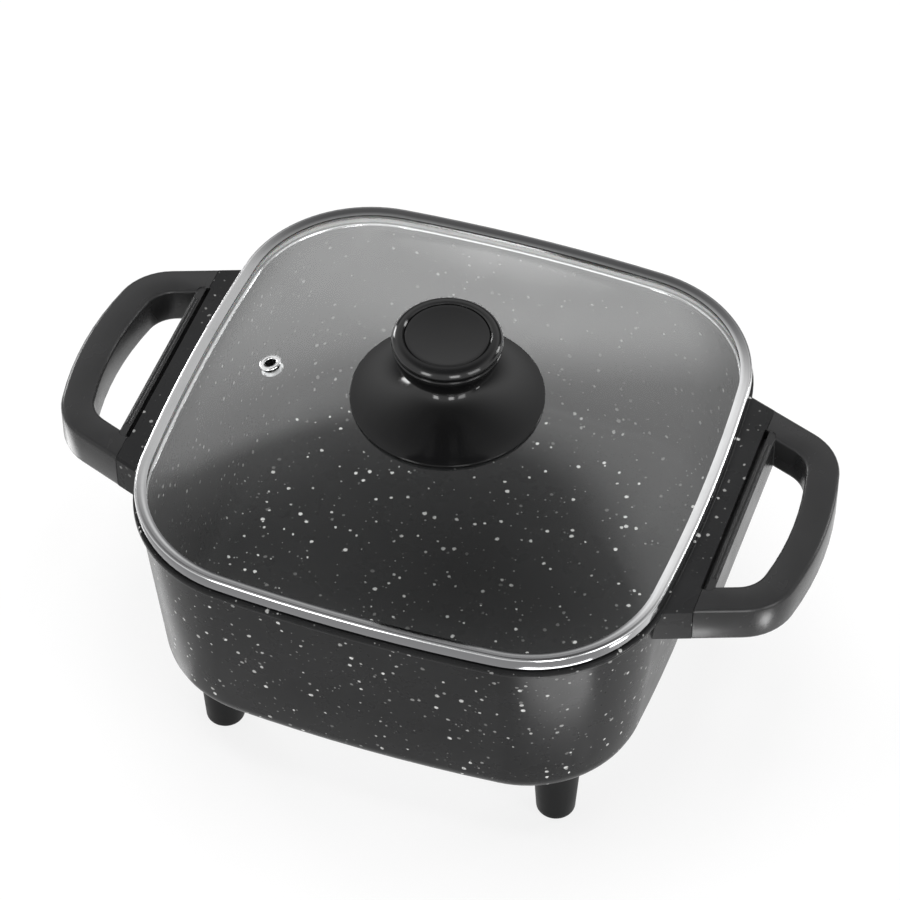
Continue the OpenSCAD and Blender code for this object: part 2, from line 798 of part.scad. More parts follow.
// Knob
module knob_skirt() {
  n = 14;
  rim = [for (i = [0:n]) neck_r + (skirt_r - neck_r) * pow(i / n, 1.5)];
  under = [for (i = [n:-1:1]) if (flare(rim[i]) - skirt_t < flare_z - skirt_web) rim[i]];
  root = under[len(under) - 1];
  color(moulding) rotate_extrude() polygon(concat(
    [[stud_r + loose, hub_z], [stud_r + loose, joint_z + spigot_h]],
    [[spigot_r, joint_z + spigot_h], [spigot_r, joint_z], [neck_r, joint_z]],
    [for (r = rim) [r, flare(r)]],
    [for (r = under) [r, flare(r) - skirt_t]],
    [[hub_wall_r, flare(root) - skirt_t], [hub_wall_r, hub_z]]
  ));
}

module knob_grip() {
  low = joint_z + snug;
  wide_z = knob_z - 6.5;
  bowl_r = neck_r + 2;
  crease = 0.5;
  bulge = knob_r - crease - bowl_r;
  shoulder = 3.8;
  lip = disc_r + snug;
  shelf = knob_z - 2.6;
  recess = joint_z + spigot_h + snug;
  color(moulding) rotate_extrude() polygon(concat(
    [[0, recess + insert_l + snug], [insert_r + snug / 2, recess + insert_l + snug]],
    [[insert_r + snug / 2, recess], [spigot_r + snug, recess], [spigot_r + snug, low], [bowl_r, low]],
    [for (i = [1:8]) let (t = 90 * i / 8) [bowl_r + bulge * sin(t), wide_z - (wide_z - low) * cos(t)]],
    [[knob_r - 2 * crease, wide_z + crease], [knob_r - crease, wide_z + 2 * crease]],
    [for (i = [0:6]) [knob_r - shoulder * (1 - cos(15 * i)), knob_z - shoulder * (1 - sin(15 * i))]],
    [[lip + 0.8, knob_z], [lip, knob_z - 0.8], [lip, shelf], [0, shelf]]
  ));
}

module knob_top_plate() {
  low = knob_z - 2.6 + snug / 2;
  thick = 1.9;
  dish = 0.6;
  n = 6;
  color(moulding) rotate_extrude() polygon(concat(
    [[0, low], [disc_r, low], [disc_r, low + thick - 0.6], [disc_r - 0.6, low + thick]],
    [for (i = [n:-1:0]) let (r = (disc_r - 1.2) * i / n) [r, low + thick - dish * (1 - pow(i / n, 2))]]
  ));
}

module knob_insert() {
  low = joint_z + spigot_h + snug;
  waist = 0.5;
  step = insert_l / 3;
  bore = stud_r + snug / 2;
  color("goldenrod") translate([0, 0, low]) rotate_extrude() polygon([
    [bore, 0], [insert_r, 0], [insert_r, step], [insert_r - waist, step + waist],
    [insert_r - waist, 2 * step - waist], [insert_r, 2 * step], [insert_r, insert_l], [bore, insert_l]
  ]);
}

module skirt_gasket() {
  sleeve = hole_r - snug;
  bore = stud_r + snug;
  color(silicone) rotate_extrude() polygon([
    [bore, under_z + snug], [sleeve, under_z + snug], [sleeve, top_z + snug / 2],
    [hub_wall_r, top_z + snug / 2], [hub_wall_r, hub_z - snug / 2], [bore, hub_z - snug / 2]
  ]);
}

module under_washer() {
  color(silicone) translate([0, 0, pad_z]) washer(washer_r, stud_r + loose, pad_t);
}

module screw_washer() {
  color(steel) translate([0, 0, washer_z]) washer(washer_r - 1, stud_r + loose, washer_t);
}

module knob_screw() {
  color(steel) translate([0, 0, head_z]) screw(stud_r, joint_z + spigot_h + insert_l - head_z - over);
}

pan_casting();
left_handle();
right_handle();
handle_screws();
front_left_foot();
front_right_foot();
rear_left_foot();
rear_right_foot();
foot_screws();
heater_plate();
heater_sheath();
heater_core();
terminal_pins();
terminal_insulators();
inlet_guard();
guard_screws();
glass_panel();
steel_band();
rim_seal();
vent_grommet();
knob_skirt();
knob_grip();
knob_top_plate();
knob_insert();
knob_screw();
skirt_gasket();
under_washer();
screw_washer();
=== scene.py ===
"""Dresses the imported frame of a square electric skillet: finishes, studio light and camera."""
import logging
import math
from dataclasses import dataclass
from enum import Enum
from typing import Any

import bpy
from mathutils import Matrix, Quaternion, Vector

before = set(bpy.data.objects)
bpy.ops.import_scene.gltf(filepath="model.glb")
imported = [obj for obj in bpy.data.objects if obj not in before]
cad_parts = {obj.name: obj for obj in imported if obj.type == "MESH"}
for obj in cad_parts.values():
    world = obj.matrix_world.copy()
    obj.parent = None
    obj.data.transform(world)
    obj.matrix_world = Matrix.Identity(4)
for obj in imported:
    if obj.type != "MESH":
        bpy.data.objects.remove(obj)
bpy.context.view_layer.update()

log = logging.getLogger("skillet")
Colour = tuple[float, float, float]
Point = tuple[float, float, float]
Span = tuple[float, float]
WHITE: Colour = (1.0, 1.0, 1.0)
GLASS_PANEL = ("glass_panel",)
STEEL_BAND = ("steel_band",)
# Height of the cards above the floor, and the gap that a weld closes, in metres
CARD_LIFT = 0.003
WELD_GAP = 0.000002


class Output(Enum):
    """The nodes that close a graph."""

    MATERIAL = "ShaderNodeOutputMaterial"
    LAMP = "ShaderNodeOutputLight"
    WORLD = "ShaderNodeOutputWorld"


class Link(Enum):
    """How a lamp's list of pieces is read."""

    ONLY = "INCLUDE"
    ALL_BUT = "EXCLUDE"


class Signal:
    """An output socket that Python's arithmetic extends with Math nodes."""

    def __init__(self, graph: "Graph", socket: bpy.types.NodeSocket) -> None:
        """Keep the graph and the socket."""
        self.graph = graph
        self.socket = socket

    def math(self, operation: str, *values: "Signal | float") -> "Signal":
        """Add a Math node with its inputs in order."""
        return self.graph.add("ShaderNodeMath", {"operation": operation}, dict(enumerate(values)))

    def twin(self, name: str) -> "Signal":
        """Another output of the same node."""
        return Signal(self.graph, self.socket.node.outputs[name])

    def larger(self, other: "Signal | float") -> "Signal":
        """The larger of two values."""
        return self.math("MAXIMUM", self, other)

    def __abs__(self) -> "Signal":
        """Size without its sign."""
        return self.math("ABSOLUTE", self)

    def __add__(self, other: "Signal | float") -> "Signal":
        """Sum."""
        return self.math("ADD", self, other)

    def __radd__(self, other: float) -> "Signal":
        """Sum with a number first."""
        return self.math("ADD", other, self)

    def __sub__(self, other: "Signal | float") -> "Signal":
        """Difference."""
        return self.math("SUBTRACT", self, other)

    def __rsub__(self, other: float) -> "Signal":
        """Difference from a number."""
        return self.math("SUBTRACT", other, self)

    def __mul__(self, other: "Signal | float") -> "Signal":
        """Product."""
        return self.math("MULTIPLY", self, other)

    def __rmul__(self, other: float) -> "Signal":
        """Product with a number first."""
        return self.math("MULTIPLY", other, self)

    def __truediv__(self, other: "Signal | float") -> "Signal":
        """Quotient."""
        return self.math("DIVIDE", self, other)

    def __rtruediv__(self, other: float) -> "Signal":
        """Quotient of a number."""
        return self.math("DIVIDE", other, self)

    def __lt__(self, other: "Signal | float") -> "Signal":
        """1 where this is the smaller, else 0."""
        return self.math("LESS_THAN", self, other)

    def __gt__(self, other: "Signal | float") -> "Signal":
        """1 where this is the larger, else 0."""
        return self.math("GREATER_THAN", self, other)


class Graph:
    """The node tree of a material, a lamp or the world."""

    def __init__(self, owner: bpy.types.Material | bpy.types.AreaLight | bpy.types.World) -> None:
        """Empty the owner's node tree.

        Args:
            owner: The material, lamp or world.
        """
        owner.use_nodes = True
        self.tree = owner.node_tree
        self.tree.nodes.clear()

    @staticmethod
    def pick(sockets: Any, key: int | str) -> bpy.types.NodeSocket:
        """Find a socket.

        Args:
            sockets: A node's inputs or outputs.
            key: Place, identifier or name.

        Returns:
            The socket.
        """
        if isinstance(key, str):
            for socket in sockets:
                if socket.identifier == key:
                    return socket
        return sockets[key]

    def add(self, kind: str, settings: dict[str, Any], inputs: dict[int | str, Any],
            output: int | str = 0) -> Signal:
        """Add a node.

        Args:
            kind: The node's type.
            settings: Its properties, set first.
            inputs: Values or signals of its sockets.
            output: The output to return.

        Returns:
            That output.
        """
        node = self.tree.nodes.new(kind)
        for name, value in settings.items():
            setattr(node, name, value)
        for key, value in inputs.items():
            socket = self.pick(node.inputs, key)
            if isinstance(value, Signal):
                self.tree.links.new(value.socket, socket)
            elif socket.type == "RGBA":
                socket.default_value = (*value, 1.0)
            else:
                socket.default_value = value
        return Signal(self, self.pick(node.outputs, output))

    def place(self) -> Signal:
        """The point on the piece, in metres."""
        return self.add("ShaderNodeTexCoord", {}, {}, "Object")

    def axis(self, name: str) -> Signal:
        """One coordinate of the point on the piece, in metres."""
        return self.add("ShaderNodeSeparateXYZ", {}, {"Vector": self.place()}, name)

    def stretched(self, by: Point) -> Signal:
        """The point on the piece with its axes scaled."""
        return self.add("ShaderNodeVectorMath", {"operation": "MULTIPLY"}, {0: self.place(), 1: by})

    def noise(self, size: float, detail: float = 3.0, at: Signal | None = None) -> Signal:
        """Add a noise.

        Args:
            size: Width of its patches in metres.
            detail: Number of finer layers.
            at: Where it is read, the point on the piece if left out.

        Returns:
            Its value from 0 to 1.
        """
        return self.add("ShaderNodeTexNoise", {}, {
            "Vector": at or self.place(), "Scale": 1 / size, "Detail": detail})

    def ease(self, value: Signal, low: Signal | float, high: Signal | float,
             to: Span = (0.0, 1.0)) -> Signal:
        """Map a value smoothly from one range to another.

        Args:
            value: The value.
            low: Where the new range starts.
            high: Where it ends.
            to: The new range.

        Returns:
            The mapped value.
        """
        return self.add("ShaderNodeMapRange", {"interpolation_type": "SMOOTHSTEP"}, {
            "Value": value, "From Min": low, "From Max": high, "To Min": to[0], "To Max": to[1]})

    def blend(self, share: Signal, first: Signal | Colour, second: Signal | Colour) -> Signal:
        """Mix two colours.

        Args:
            share: Share of the second.
            first: First colour.
            second: Second colour.

        Returns:
            The mixed colour.
        """
        return self.add("ShaderNodeMix", {"data_type": "RGBA"}, {
            "Factor_Float": share, "A_Color": first, "B_Color": second}, "Result_Color")

    def bump(self, height: Signal, depth: float, below: Signal | None = None) -> Signal:
        """Turn a height into a normal.

        Args:
            height: Height from 0 to 1.
            depth: Depth of that height in metres.
            below: Normal that the height stands on, the piece's own if left out.

        Returns:
            The normal.
        """
        inputs = {"Strength": 1.0, "Distance": depth, "Height": height}
        if below:
            inputs["Normal"] = below
        return self.add("ShaderNodeBump", {}, inputs, "Normal")

    def rays(self) -> tuple[Signal, Signal]:
        """Tell rays apart.

        Returns:
            1 for rays from the camera, and 1 for rays that metal or glass sends on.
        """
        camera = self.add("ShaderNodeLightPath", {}, {}, "Is Camera Ray")
        return camera, camera.twin("Is Glossy Ray").larger(camera.twin("Is Transmission Ray"))

    def close(self, kind: Output, shader: Signal) -> None:
        """Add an output node and link a shader to it."""
        self.tree.links.new(shader.socket, self.tree.nodes.new(kind.value).inputs["Surface"])


class Coat:
    """What every finish has: a name and a shader, which make its material."""

    name: str

    def shader(self, graph: Graph) -> Signal:
        """The finish's shader, which each finish makes in its own way."""
        raise NotImplementedError

    def material(self) -> bpy.types.Material:
        """Build the finish's material.

        Returns:
            The material.
        """
        made = bpy.data.materials.new(self.name)
        graph = Graph(made)
        graph.close(Output.MATERIAL, self.shader(graph))
        return made


@dataclass(frozen=True)
class Speckle:
    """One layer of speckles, sizes in metres.

    Attributes:
        spacing: Distance between neighbouring places.
        radius: Radius of the largest speckle.
        share: Share of the places that hold a speckle.
        dim: Tone of the dimmest.
        bright: Tone of the brightest.
        least: Radius of the smallest as a share of the largest.
    """

    spacing: float
    radius: float
    share: float
    dim: float
    bright: float
    least: float = 0.5


@dataclass(frozen=True)
class SpeckledCoating(Coat):
    """Satin black non-stick coating with pale speckles, sizes in metres.

    Attributes:
        ground: Colour of the coating.
        faded: Its colour where it has faded.
        cloud: Width of the faded patches.
        cloud_span: Values of their noise between which they grow.
        patch: Width of the rougher patches.
        spread: How much rougher they are.
        ripple: Width of the coating's ripples.
        ripple_share: Their height as a share of the relief.
        relief: Height of the relief.
        ragged: Size of the speckles' ragged edges, as a share of their radius.
        rim: Where a speckle's edge starts and ends, as shares of its radius.
        rise: Height of a speckle as a share of the relief.
        dulling: How much rougher a speckle is.
        warmth: A speckle's blue as a share of its red.
        ears: Distances from the middle between which the speckles grow dim towards the ears.
        calm: Tone of the speckles on the ears as a share of their tone elsewhere.
        layers: The layers of speckles.
    """

    name: str = "speckled_coating"
    ground: Colour = (0.016, 0.0161, 0.0165)
    faded: Colour = (0.019, 0.0191, 0.0196)
    cloud: float = 0.03
    cloud_span: Span = (0.35, 0.7)
    roughness: float = 0.24
    patch: float = 0.012
    spread: float = 0.08
    specular: float = 0.12
    index: float = 1.4
    ripple: float = 0.004
    ripple_share: float = 0.5
    relief: float = 0.000004
    ragged: float = 0.6
    rim: Span = (1.25, 0.75)
    rise: float = 0.6
    dulling: float = 0.12
    warmth: float = 0.98
    ears: Span = (0.128, 0.131)
    calm: float = 0.4
    layers: tuple[Speckle, ...] = (
        Speckle(0.0034, 0.00055, 0.8, 0.05, 0.3),
        Speckle(0.0056, 0.00105, 0.92, 0.14, 0.8),
    )

    def speckles(self, graph: Graph, layer: Speckle) -> tuple[Signal, Signal]:
        """Scatter one layer of speckles.

        Args:
            graph: The material's graph.
            layer: The layer.

        Returns:
            The layer's mask and its tone.
        """
        ragged = graph.add("ShaderNodeTexNoise", {}, {
            "Vector": graph.place(), "Scale": self.ragged / layer.radius}, "Color")
        at = graph.add("ShaderNodeVectorMath", {"operation": "MULTIPLY_ADD"}, {
            0: ragged, 1: (layer.radius,) * 3, 2: graph.place()})
        cells = graph.add("ShaderNodeTexVoronoi", {}, {
            "Vector": at, "Scale": 1 / layer.spacing}, "Distance")
        luck = graph.add("ShaderNodeSeparateColor", {}, {"Color": cells.twin("Color")}, "Red")
        size = layer.radius / layer.spacing * (layer.least + (1 - layer.least) * luck)
        dots = graph.ease(cells, size * self.rim[0], size * self.rim[1])
        mask = dots * (luck.twin("Green") < layer.share)
        return mask, layer.dim + (layer.bright - layer.dim) * luck.twin("Blue")

    def shader(self, graph: Graph) -> Signal:
        """Lay the coating and its layers of speckles.

        Args:
            graph: The material's graph.

        Returns:
            The shader.
        """
        colour = graph.blend(graph.ease(graph.noise(self.cloud), *self.cloud_span), self.ground, self.faded)
        raised = graph.noise(self.ripple, detail=2.0) * self.ripple_share
        rough = self.roughness + self.spread * graph.noise(self.patch)
        calm = graph.ease(abs(graph.axis("X")), *self.ears, (1.0, self.calm))
        for layer in self.layers:
            mask, full_tone = self.speckles(graph, layer)
            tone = full_tone * calm
            grey = graph.add("ShaderNodeCombineColor", {}, {
                "Red": tone, "Green": tone, "Blue": tone * self.warmth})
            colour = graph.blend(mask, colour, grey)
            raised = raised + mask * self.rise
            rough = rough + mask * self.dulling
        return graph.add("ShaderNodeBsdfPrincipled", {}, {
            "Base Color": colour, "Roughness": rough, "Specular IOR Level": self.specular,
            "IOR": self.index, "Normal": graph.bump(raised, self.relief)})


@dataclass(frozen=True)
class Moulding(Coat):
    """Moulded plastic with a fine grain and softened edges, sizes in metres.

    Attributes:
        colour: Colour of the plastic.
        worn: Its colour where it is worn.
        spread: How much rougher it is there.
        grain: Width of the grain.
        depth: Depth of the grain.
        edge: Radius that the light sees on sharp edges.
        edge_samples: Number of rays that round an edge.
        cloud: Width of the worn patches.
        cloud_span: Values of their noise between which they grow.
        scuff: Width of the scuffs.
        scuff_span: Values of their noise between which they grow.
        scuff_way: How the scuffs stretch along each axis.
        scuff_share: The scuffs' share of the wear.
    """

    name: str
    colour: Colour
    worn: Colour
    roughness: float
    spread: float
    grain: float
    depth: float
    specular: float
    edge: float = 0.0008
    edge_samples: int = 4
    cloud: float = 0.02
    cloud_span: Span = (0.3, 0.7)
    scuff: float = 0.004
    scuff_span: Span = (0.6, 0.75)
    scuff_way: Point = (1.0, 0.25, 1.0)
    scuff_share: float = 0.4

    def shader(self, graph: Graph) -> Signal:
        """Mix the wear, the grain and the soft edges.

        Args:
            graph: The material's graph.

        Returns:
            The shader.
        """
        soft = graph.add("ShaderNodeBevel", {"samples": self.edge_samples}, {"Radius": self.edge})
        cloud = graph.ease(graph.noise(self.cloud), *self.cloud_span)
        marks = graph.noise(self.scuff, detail=4.0, at=graph.stretched(self.scuff_way))
        scuff = graph.ease(marks, *self.scuff_span)
        wear = cloud * (1 - self.scuff_share) + scuff * self.scuff_share
        return graph.add("ShaderNodeBsdfPrincipled", {}, {
            "Base Color": graph.blend(wear, self.colour, self.worn),
            "Roughness": self.roughness + self.spread * wear,
            "Specular IOR Level": self.specular,
            "Normal": graph.bump(graph.noise(self.grain, detail=2.0), self.depth, soft)})


@dataclass(frozen=True)
class Metal(Coat):
    """Bare metal with a drawn grain, sizes in metres.

    Attributes:
        colour: Colour of the metal.
        stained: Its colour where it is stained.
        spread: How much rougher the grain and the stains are.
        grain: Width of the grain.
        depth: Depth of the grain.
        drawn: How the grain stretches along each axis.
        stain: Width of the stains.
        stain_span: Values of their noise between which they grow.
        stain_share: The stains' share of the roughness.
    """

    name: str
    colour: Colour
    stained: Colour
    roughness: float
    spread: float
    grain: float
    depth: float
    drawn: Point = (1.0, 1.0, 1.0)
    stain: float = 0.012
    stain_span: Span = (0.42, 0.72)
    stain_share: float = 0.3

    def shader(self, graph: Graph) -> Signal:
        """Mix the grain and the stains.

        Args:
            graph: The material's graph.

        Returns:
            The shader.
        """
        lines = graph.noise(self.grain, at=graph.stretched(self.drawn))
        stain = graph.ease(graph.noise(self.stain, detail=4.0), *self.stain_span)
        rough = lines * (1 - self.stain_share) + stain * self.stain_share
        return graph.add("ShaderNodeBsdfPrincipled", {}, {
            "Base Color": graph.blend(stain, self.colour, self.stained), "Metallic": 1.0,
            "Roughness": self.roughness + self.spread * rough,
            "Normal": graph.bump(lines, self.depth)})


@dataclass(frozen=True)
class RolledSteel(Coat):
    """Polished steel of the band, rougher along its crest, with painted light and shade on its crest and
    painted shade on its front face, sizes in metres.

    Attributes:
        bright: Colour of the polished steel.
        stained: Its colour where it is stained.
        painted_shade_crest: Painted shade, the colour of the crest at the front and the rear.
        soft: Painted lit tone, the colour of the crest at the left and the right.
        painted_shade_wall: Painted shade, the colour of the front face below the crest.
        ends: Distances from the middle between which the sides turn into the front and the rear.
        crest: Depths below the band's top between which the crest starts.
        wider: How much deeper the crest, with its painted shade, reaches at the rear.
        rear: Places along Y between which it grows deeper.
        brow: Depths below the band's top between which the painted shade of the front face starts.
        spread: How much rougher the grain is.
        crest_spread: How much rougher the crest is.
        grain: Width of the grain.
        drawn: How the grain stretches along each axis.
        depth: Depth of the grain.
        stain: Width of the stains.
        stain_span: Values of their noise between which they grow.
    """

    name: str = "polished_steel"
    bright: Colour = (0.86, 0.865, 0.87)
    stained: Colour = (0.78, 0.785, 0.79)
    # Painted shade on the crest at the front and the rear and on the front face; painted lit tone on the
    # crest at the sides.
    painted_shade_crest: Colour = (0.28, 0.28, 0.285)
    soft: Colour = (0.86, 0.86, 0.865)
    painted_shade_wall: Colour = (0.2, 0.2, 0.205)
    ends: Span = (0.05, 0.11)
    crest: Span = (0.0008, 0.0002)
    wider: float = 0.0003
    rear: Span = (0.0, 0.1)
    brow: Span = (0.0004, 0.001)
    roughness: float = 0.08
    spread: float = 0.06
    crest_spread: float = 0.1
    grain: float = 0.0016
    drawn: Point = (0.2, 0.2, 4.0)
    depth: float = 0.0000015
    stain: float = 0.012
    stain_span: Span = (0.42, 0.72)

    def shader(self, graph: Graph) -> Signal:
        """Paint light and shade on the crest and painted shade on the front face.

        Args:
            graph: The material's graph.

        Returns:
            The shader.
        """
        top = max(corner[2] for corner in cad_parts["steel_band"].bound_box)
        height = graph.axis("Z")
        along = height.twin("Y")
        drawn = graph.noise(self.grain, at=graph.stretched(self.drawn))
        stain = graph.ease(graph.noise(self.stain, detail=4.0), *self.stain_span)
        lifted = height + self.wider * graph.ease(along, *self.rear)
        crest = graph.ease(lifted, top - self.crest[0], top - self.crest[1])
        # Painted light and shade on the crest: lit tone at the sides, painted shade at the front and the
        # rear.
        painted_crest_light_and_shade = graph.blend(graph.ease(abs(along), *self.ends), self.soft, self.painted_shade_crest)
        polished = graph.blend(stain, self.bright, self.stained)
        # Painted shade on the front face below the crest.
        front = graph.ease(along, -self.ends[0], -self.ends[1])
        below = graph.ease(height, top - self.brow[0], top - self.brow[1])
        return graph.add("ShaderNodeBsdfPrincipled", {}, {
            "Base Color": graph.blend(front * below, graph.blend(crest, polished, painted_crest_light_and_shade), self.painted_shade_wall),
            "Metallic": 1.0,
            "Roughness": self.roughness + self.spread * drawn + self.crest_spread * crest,
            "Normal": graph.bump(drawn, self.depth)})


@dataclass(frozen=True)
class ClearGlass(Coat):
    """Clear tempered glass, seen straight through, with a sharp reflection, sizes in metres.

    Attributes:
        tint: Colour of the light that passes one face.
        mirror: Colour of its reflection.
        index: Refractive index, for the strength of the reflection.
        smear: Width of the faint smears.
        smear_way: How the smears stretch along each axis.
        smear_span: Values of their noise between which they grow.
        smear_gain: How much more a smear reflects.
    """

    name: str = "clear_glass"
    tint: Colour = (0.965, 0.968, 0.967)
    mirror: Colour = (0.97, 0.975, 0.975)
    index: float = 1.52
    smear: float = 0.035
    smear_way: Point = (1.0, 0.5, 1.0)
    smear_span: Span = (0.5, 0.8)
    smear_gain: float = 0.08

    def shader(self, graph: Graph) -> Signal:
        """Mix what passes with what both faces reflect, on the outer face alone.

        Args:
            graph: The material's graph.

        Returns:
            The shader.
        """
        marks = graph.noise(self.smear, detail=4.0, at=graph.stretched(self.smear_way))
        smear = graph.ease(marks, *self.smear_span)
        once = graph.add("ShaderNodeFresnel", {}, {"IOR": self.index})
        both = 2 * once / (1 + once)
        outer = 1 - graph.add("ShaderNodeNewGeometry", {}, {}, "Backfacing")
        clear = graph.add("ShaderNodeBsdfTransparent", {}, {"Color": self.tint})
        gloss = graph.add("ShaderNodeBsdfPrincipled", {}, {
            "Base Color": self.mirror, "Metallic": 1.0, "Roughness": 0.0})
        return graph.add("ShaderNodeMixShader", {}, {
            0: both * outer * (1 + self.smear_gain * smear), 1: clear, 2: gloss})


@dataclass(frozen=True)
class Mineral(Coat):
    """Pale silicone or unglazed ceramic with pores, sizes in metres.

    Attributes:
        colour: Colour of the material.
        dusty: Its colour where it is dusty.
        pore: Width of the pores.
        depth: Depth of the pores.
        soft: Share of the light that spreads inside.
        reach: How far it spreads.
        spread: How much rougher the pores are.
        dust: Width of the dusty patches.
        dust_span: Values of their noise between which they grow.
    """

    name: str
    colour: Colour
    dusty: Colour
    roughness: float
    pore: float
    depth: float
    soft: float = 0.0
    reach: float = 0.002
    spread: float = 0.15
    dust: float = 0.009
    dust_span: Span = (0.4, 0.7)

    def shader(self, graph: Graph) -> Signal:
        """Mix the dust and the pores.

        Args:
            graph: The material's graph.

        Returns:
            The shader.
        """
        pores = graph.noise(self.pore)
        dust = graph.ease(graph.noise(self.dust), *self.dust_span)
        return graph.add("ShaderNodeBsdfPrincipled", {}, {
            "Base Color": graph.blend(dust, self.colour, self.dusty),
            "Roughness": self.roughness + self.spread * pores,
            "Subsurface Weight": self.soft, "Subsurface Scale": self.reach,
            "Normal": graph.bump(pores, self.depth)})


class Finish(Enum):
    """The finishes."""

    COATING = SpeckledCoating()
    GRIP = Moulding("satin_phenolic", (0.02, 0.02, 0.0204), (0.023, 0.023, 0.0234),
                    roughness=0.22, spread=0.1, grain=0.0006, depth=0.000003, specular=0.3)
    FOOT = Moulding("matt_phenolic", (0.009, 0.009, 0.0093), (0.012, 0.012, 0.0124),
                    roughness=0.42, spread=0.12, grain=0.0008, depth=0.00001, specular=0.1)
    KNOB = Moulding("gloss_phenolic", (0.003, 0.003, 0.0032), (0.0045, 0.0045, 0.0047),
                    roughness=0.1, spread=0.05, grain=0.0012, depth=0.000001, specular=0.5)
    BAND = RolledSteel()
    EYELET = Metal("polished_eyelet", (0.86, 0.865, 0.87), (0.78, 0.785, 0.79),
                   roughness=0.08, spread=0.08, grain=0.0008, depth=0.0000015)
    STEEL = Metal("zinc_plated_steel", (0.62, 0.62, 0.63), (0.5, 0.5, 0.48),
                  roughness=0.26, spread=0.14, grain=0.0005, depth=0.000006)
    SHEATH = Metal("oxidised_tube", (0.3, 0.29, 0.28), (0.16, 0.13, 0.11),
                   roughness=0.4, spread=0.16, grain=0.0006, depth=0.00001)
    BARE_ALUMINIUM = Metal("cast_aluminium", (0.7, 0.7, 0.71), (0.58, 0.58, 0.59),
                           roughness=0.34, spread=0.16, grain=0.0012, depth=0.00004)
    BRASS = Metal("turned_brass", (0.75, 0.57, 0.25), (0.6, 0.42, 0.18),
                  roughness=0.24, spread=0.14, grain=0.0004, depth=0.000006, drawn=(0.3, 0.3, 3.0))
    GLASS = ClearGlass()
    SILICONE = Mineral("silicone", (0.74, 0.74, 0.72), (0.66, 0.65, 0.62),
                       roughness=0.45, pore=0.0008, depth=0.00001, soft=0.25)
    CERAMIC = Mineral("ceramic", (0.82, 0.8, 0.74), (0.7, 0.67, 0.6),
                      roughness=0.6, pore=0.0005, depth=0.00002)


@dataclass(frozen=True)
class Part:
    """A piece, its finish, and the angle in degrees above which its edges stay sharp."""

    name: str
    finish: Finish
    crease: float = 30.0


class Wardrobe:
    """Keeps one material for each finish and puts it on pieces."""

    def __init__(self) -> None:
        """Start with no material made."""
        self.made: dict[Finish, bpy.types.Material] = {}

    def material(self, finish: Finish) -> bpy.types.Material:
        """Find a finish's material, made when first asked for.

        Args:
            finish: The finish.

        Returns:
            Its material.
        """
        if finish not in self.made:
            self.made[finish] = finish.value.material()
        return self.made[finish]

    def dress(self, part: Part) -> None:
        """Put a finish on a piece and shade it smoothly between its sharp edges.

        Args:
            part: The piece, its finish and its crease.
        """
        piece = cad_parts[part.name]
        mesh = piece.data
        mesh.materials.clear()
        mesh.materials.append(self.material(part.finish))
        mesh.polygons.foreach_set("material_index", [0] * len(mesh.polygons))
        mesh.polygons.foreach_set("use_smooth", [True] * len(mesh.polygons))
        normals = mesh.attributes.get("custom_normal")
        if normals:
            mesh.attributes.remove(normals)
        weld = piece.modifiers.new("weld", "WELD")
        weld.merge_threshold = WELD_GAP
        split = piece.modifiers.new("crease", "EDGE_SPLIT")
        split.split_angle = math.radians(part.crease)
        split.use_edge_sharp = False
        log.info("%s: %s", part.name, part.finish.value.name)


@dataclass
class Assembly:
    """Pieces that belong together."""

    parts: tuple[Part, ...] = ()

    def build(self, wardrobe: Wardrobe) -> None:
        """Dress the pieces."""
        for part in self.parts:
            wardrobe.dress(part)


@dataclass
class Pan(Assembly):
    """Cast pan with its handles and feet."""

    parts: tuple[Part, ...] = (
        Part("pan_casting", Finish.COATING),
        Part("left_handle", Finish.GRIP, crease=42.0),
        Part("right_handle", Finish.GRIP, crease=42.0),
        Part("front_left_foot", Finish.FOOT),
        Part("front_right_foot", Finish.FOOT),
        Part("rear_left_foot", Finish.FOOT),
        Part("rear_right_foot", Finish.FOOT),
        Part("handle_screws", Finish.STEEL),
        Part("foot_screws", Finish.STEEL),
    )


@dataclass
class Heater(Assembly):
    """Heater plate under the pan, with its element and inlet."""

    parts: tuple[Part, ...] = (
        Part("heater_plate", Finish.BARE_ALUMINIUM),
        Part("heater_sheath", Finish.SHEATH),
        Part("heater_core", Finish.CERAMIC),
        Part("terminal_pins", Finish.STEEL),
        Part("terminal_insulators", Finish.CERAMIC),
        Part("inlet_guard", Finish.FOOT),
        Part("guard_screws", Finish.STEEL),
    )


@dataclass
class Lid(Assembly):
    """Domed glass in its steel band."""

    parts: tuple[Part, ...] = (
        Part("glass_panel", Finish.GLASS),
        Part("steel_band", Finish.BAND),
        Part("rim_seal", Finish.SILICONE),
        Part("vent_grommet", Finish.EYELET),
    )


@dataclass
class Knob(Assembly):
    """Mushroom knob, its skirt and its fastening."""

    parts: tuple[Part, ...] = (
        Part("knob_skirt", Finish.KNOB),
        Part("knob_grip", Finish.KNOB),
        Part("knob_top_plate", Finish.KNOB),
        Part("knob_insert", Finish.BRASS),
        Part("knob_screw", Finish.STEEL),
        Part("skirt_gasket", Finish.SILICONE),
        Part("under_washer", Finish.SILICONE),
        Part("screw_washer", Finish.STEEL),
    )


